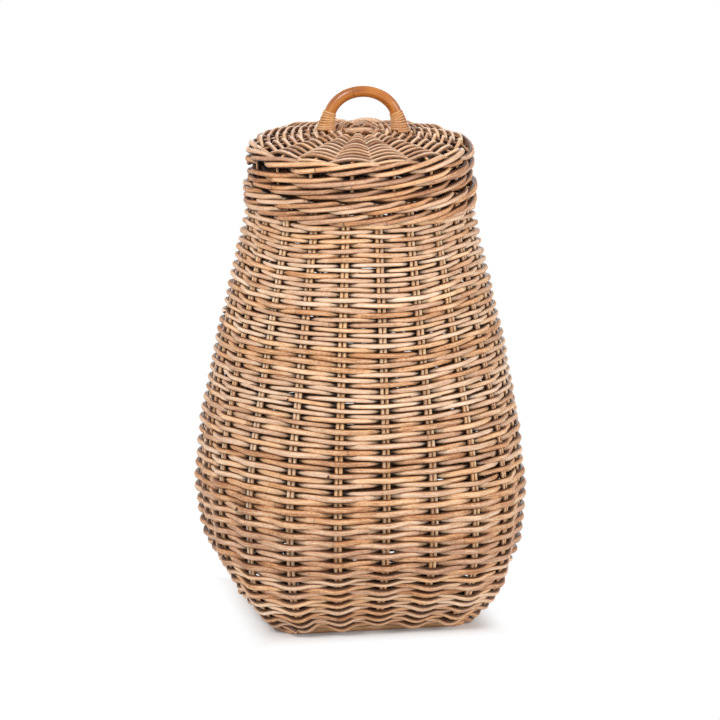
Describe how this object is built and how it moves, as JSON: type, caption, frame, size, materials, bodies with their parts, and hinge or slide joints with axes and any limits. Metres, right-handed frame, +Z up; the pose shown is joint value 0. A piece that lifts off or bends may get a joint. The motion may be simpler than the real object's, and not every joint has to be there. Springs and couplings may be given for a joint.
{
  "type": "woven rattan laundry hamper",
  "caption": "Pear-shaped woven rattan laundry hamper on a square base, with a round lift-off woven lid and an arched cane handle.",
  "frame": {"origin": "on the floor, under the middle of the square base", "axes": "+Z up; the sides of the square base lie along X and Y"},
  "size_m": [0.4163, 0.4172, 0.6876],
  "materials": {
    "weaver_rattan": "matt natural rattan",
    "stake_rattan": "matt natural rattan",
    "thick_rattan": "satin natural rattan with its skin on",
    "pole_rattan": "matt natural rattan pole",
    "handle_cane": "varnished honey-coloured cane",
    "lashing_cane": "satin split cane"
  },
  "bodies": {
    "basket": {"base_frame": "pole_rattan", "base_rib_1": "stake_rattan", "base_rib_2": "stake_rattan", "base_rib_3": "stake_rattan", "base_rib_4": "stake_rattan", "base_rib_5": "stake_rattan", "base_weaver": "weaver_rattan", "stake_01": "stake_rattan", "stake_02": "stake_rattan", "stake_03": "stake_rattan", "stake_04": "stake_rattan", "stake_05": "stake_rattan", "stake_06": "stake_rattan", "stake_07": "stake_rattan", "stake_08": "stake_rattan", "stake_09": "stake_rattan", "stake_10": "stake_rattan", "stake_11": "stake_rattan", "stake_12": "stake_rattan", "stake_13": "stake_rattan", "stake_14": "stake_rattan", "stake_15": "stake_rattan", "stake_16": "stake_rattan", "stake_17": "stake_rattan", "stake_18": "stake_rattan", "stake_19": "stake_rattan", "stake_20": "stake_rattan", "stake_21": "stake_rattan", "wall_weaver_1": "weaver_rattan", "wall_weaver_2": "weaver_rattan", "wall_weaver_3": "weaver_rattan", "wall_weaver_4": "weaver_rattan", "wall_weaver_5": "weaver_rattan", "wall_weaver_6": "weaver_rattan", "wall_weaver_7": "weaver_rattan", "wall_weaver_8": "weaver_rattan", "rim_wale_1": "thick_rattan", "rim_wale_2": "thick_rattan", "rim_wale_3": "thick_rattan", "rim_wale_4": "thick_rattan"},
    "lid": {"lid_rod_across_1": "stake_rattan", "lid_rod_across_2": "stake_rattan", "lid_rod_across_3": "stake_rattan", "lid_rod_across_4": "stake_rattan", "lid_rod_along_1": "stake_rattan", "lid_rod_along_2": "stake_rattan", "lid_rod_along_3": "stake_rattan", "lid_rod_along_4": "stake_rattan", "lid_edge_wale_1": "thick_rattan", "lid_edge_wale_2": "thick_rattan", "lid_edge_wale_3": "thick_rattan", "lid_edge_wale_4": "thick_rattan", "lid_edge_wale_5": "thick_rattan", "lid_weaver_even": "weaver_rattan", "lid_weaver_odd": "weaver_rattan", "lid_locating_hoop": "pole_rattan", "lid_handle": "handle_cane", "handle_lashing_right": "lashing_cane", "handle_lashing_left": "lashing_cane"}
  },
  "joints": [
    {"name": "lid_lift", "type": "slide", "parent": "basket", "child": "lid", "axis": [0, 0, 1], "range_m": [0, 0.3]}
  ]
}
